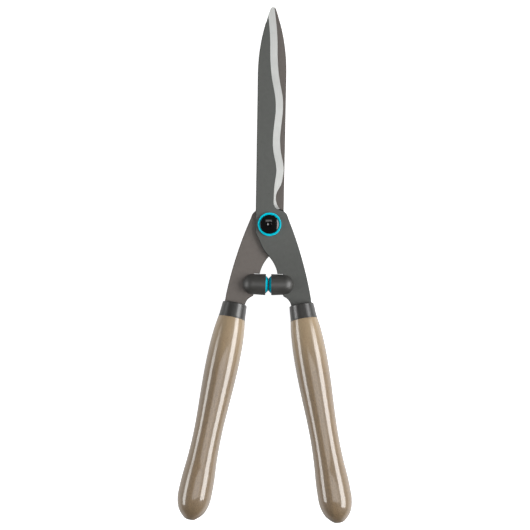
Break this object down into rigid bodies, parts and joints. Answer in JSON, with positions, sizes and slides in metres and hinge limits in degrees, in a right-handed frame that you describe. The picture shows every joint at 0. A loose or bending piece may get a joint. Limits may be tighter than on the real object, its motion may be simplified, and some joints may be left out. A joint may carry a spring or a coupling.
{
  "type": "hedge shears",
  "caption": "Two-handed hedge shears with wavy bevelled blades, a bolted pivot, cushioned stops between the levers and cranked wooden handles in metal ferrules.",
  "frame": {"origin": "on the pivot axis, midway between the two blades' inner faces", "axes": "+Y along the blades to their tips, +Z along the pivot axis out of the bolt's head, +X to the side of the front lever's handle"},
  "size_m": [0.1958, 0.5821, 0.0728],
  "materials": {
    "front_blade_steel": "matte grey non-stick coating, ground bright on the bevel",
    "rear_blade_steel": "matte warm grey non-stick coating, ground bright on the bevel",
    "handle_wood": "clear lacquered hardwood",
    "ferrule_metal": "satin dark grey",
    "buffer_housing": "satin moulded",
    "buffer_pad": "elastic turquoise",
    "buffer_plug": "matte black",
    "screw_steel": "blackened",
    "bolt_black": "gloss black",
    "bush_plastic": "turquoise moulded",
    "slip_plastic": "natural",
    "zinc_steel": "zinc plated",
    "insert_nylon": "moulded"
  },
  "bodies": {
    "rear_lever": {"rear_blade": "rear_blade_steel", "left_handle": "handle_wood", "left_ferrule": "ferrule_metal", "left_buffer_front_shell": "buffer_housing", "left_buffer_rear_shell": "buffer_housing", "left_buffer_pad": "buffer_pad", "left_buffer_plug": "buffer_plug", "left_buffer_screw": "screw_steel", "pivot_bolt": "bolt_black", "flat_washer": "zinc_steel", "spring_washer": "zinc_steel", "lock_nut": "zinc_steel", "nut_insert": "insert_nylon"},
    "front_lever": {"front_blade": "front_blade_steel", "right_handle": "handle_wood", "right_ferrule": "ferrule_metal", "right_buffer_front_shell": "buffer_housing", "right_buffer_rear_shell": "buffer_housing", "right_buffer_pad": "buffer_pad", "right_buffer_plug": "buffer_plug", "right_buffer_screw": "screw_steel", "pivot_bush": "bush_plastic", "blade_washer": "slip_plastic"}
  },
  "joints": [
    {"name": "pivot", "type": "hinge", "parent": "rear_lever", "child": "front_lever", "pos_m": [0, 0, 0], "axis": [0, 0, 1], "range_deg": [0, 70]}
  ]
}
